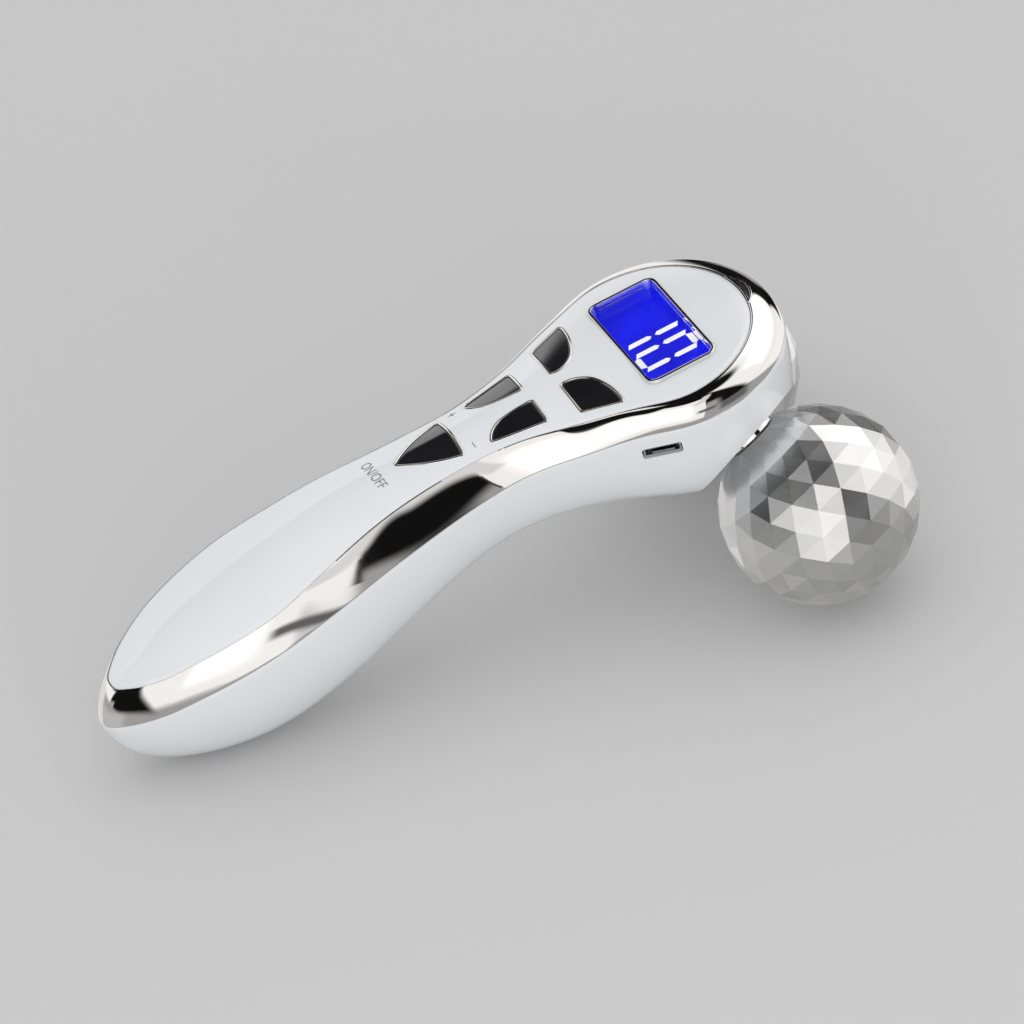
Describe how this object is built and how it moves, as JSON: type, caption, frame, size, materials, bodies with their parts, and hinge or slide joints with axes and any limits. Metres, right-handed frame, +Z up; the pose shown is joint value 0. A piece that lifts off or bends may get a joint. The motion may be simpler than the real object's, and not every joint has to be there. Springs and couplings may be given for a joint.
{
  "type": "facial toning device",
  "caption": "Hand-held facial toning device: a curved handle with press keys and a display, and two faceted rollers set in a V under its round head.",
  "frame": {"origin": "on the floor under the middle of the resting device", "axes": "+X from the tail of the handle to the head, +Y to the left, +Z up, resting on the rollers and the belly of the handle"},
  "size_m": [0.166, 0.0906, 0.0581],
  "materials": {
    "white_case": "white high-gloss moulded plastic",
    "chrome": "polished chrome plating",
    "key_black": "black high-gloss plastic",
    "window": "clear window",
    "panel": "blue liquid-crystal display",
    "lens": "smoked lens",
    "board": "green board",
    "chip": "black moulded component",
    "steel": "steel",
    "brass": "brass",
    "cell": "shrink-wrapped cell",
    "port": "stamped steel shell"
  },
  "bodies": {
    "case": {"top_cover": "white_case", "chrome_band": "chrome", "lower_shell": "white_case", "display_bezel": "chrome", "display_window": "window", "display_panel": "panel", "lamp_rim": "chrome", "lamp_lens": "lens", "main_board": "board", "controller_chip": "chip", "buzzer": "chip", "board_screws": "steel", "battery": "cell", "charging_port": "port", "charging_board": "board", "axle_bracket": "chip", "bracket_screws": "steel", "left_axle": "steel", "right_axle": "steel", "left_collar": "chrome", "right_collar": "chrome", "left_clip": "steel", "right_clip": "steel", "power_trim": "chrome", "minus_trim": "chrome", "plus_trim": "chrome", "time_trim": "chrome", "mode_trim": "chrome", "power_switch": "chip", "minus_switch": "chip", "plus_switch": "chip", "time_switch": "chip", "mode_switch": "chip"},
    "left_roller": {"left_roller": "chrome", "left_bush": "brass"},
    "right_roller": {"right_roller": "chrome", "right_bush": "brass"},
    "power_button": {"power_button": "key_black"},
    "minus_button": {"minus_button": "key_black"},
    "plus_button": {"plus_button": "key_black"},
    "time_button": {"time_button": "key_black"},
    "mode_button": {"mode_button": "key_black"}
  },
  "joints": [
    {"name": "left_roller_spin", "type": "hinge", "parent": "case", "child": "left_roller", "pos_m": [0.06302, 0.0255, 0.01988], "axis": [-0.4068, -0.5818, 0.7043], "continuous": true},
    {"name": "right_roller_spin", "type": "hinge", "parent": "case", "child": "right_roller", "pos_m": [0.06302, -0.0255, 0.01988], "axis": [-0.4068, 0.5818, 0.7043], "continuous": true},
    {"name": "power_press", "type": "slide", "parent": "case", "child": "power_button", "axis": [0.1192, 0, -0.9929], "range_m": [0, 0.0004], "stiffness_N_per_m": 1000, "springref_m": -0.0004},
    {"name": "minus_press", "type": "slide", "parent": "case", "child": "minus_button", "axis": [0.1192, 0, -0.9929], "range_m": [0, 0.0004], "stiffness_N_per_m": 1000, "springref_m": -0.0004},
    {"name": "plus_press", "type": "slide", "parent": "case", "child": "plus_button", "axis": [0.1192, 0, -0.9929], "range_m": [0, 0.0004], "stiffness_N_per_m": 1000, "springref_m": -0.0004},
    {"name": "time_press", "type": "slide", "parent": "case", "child": "time_button", "axis": [0.1192, 0, -0.9929], "range_m": [0, 0.0004], "stiffness_N_per_m": 1000, "springref_m": -0.0004},
    {"name": "mode_press", "type": "slide", "parent": "case", "child": "mode_button", "axis": [0.1192, 0, -0.9929], "range_m": [0, 0.0004], "stiffness_N_per_m": 1000, "springref_m": -0.0004}
  ]
}
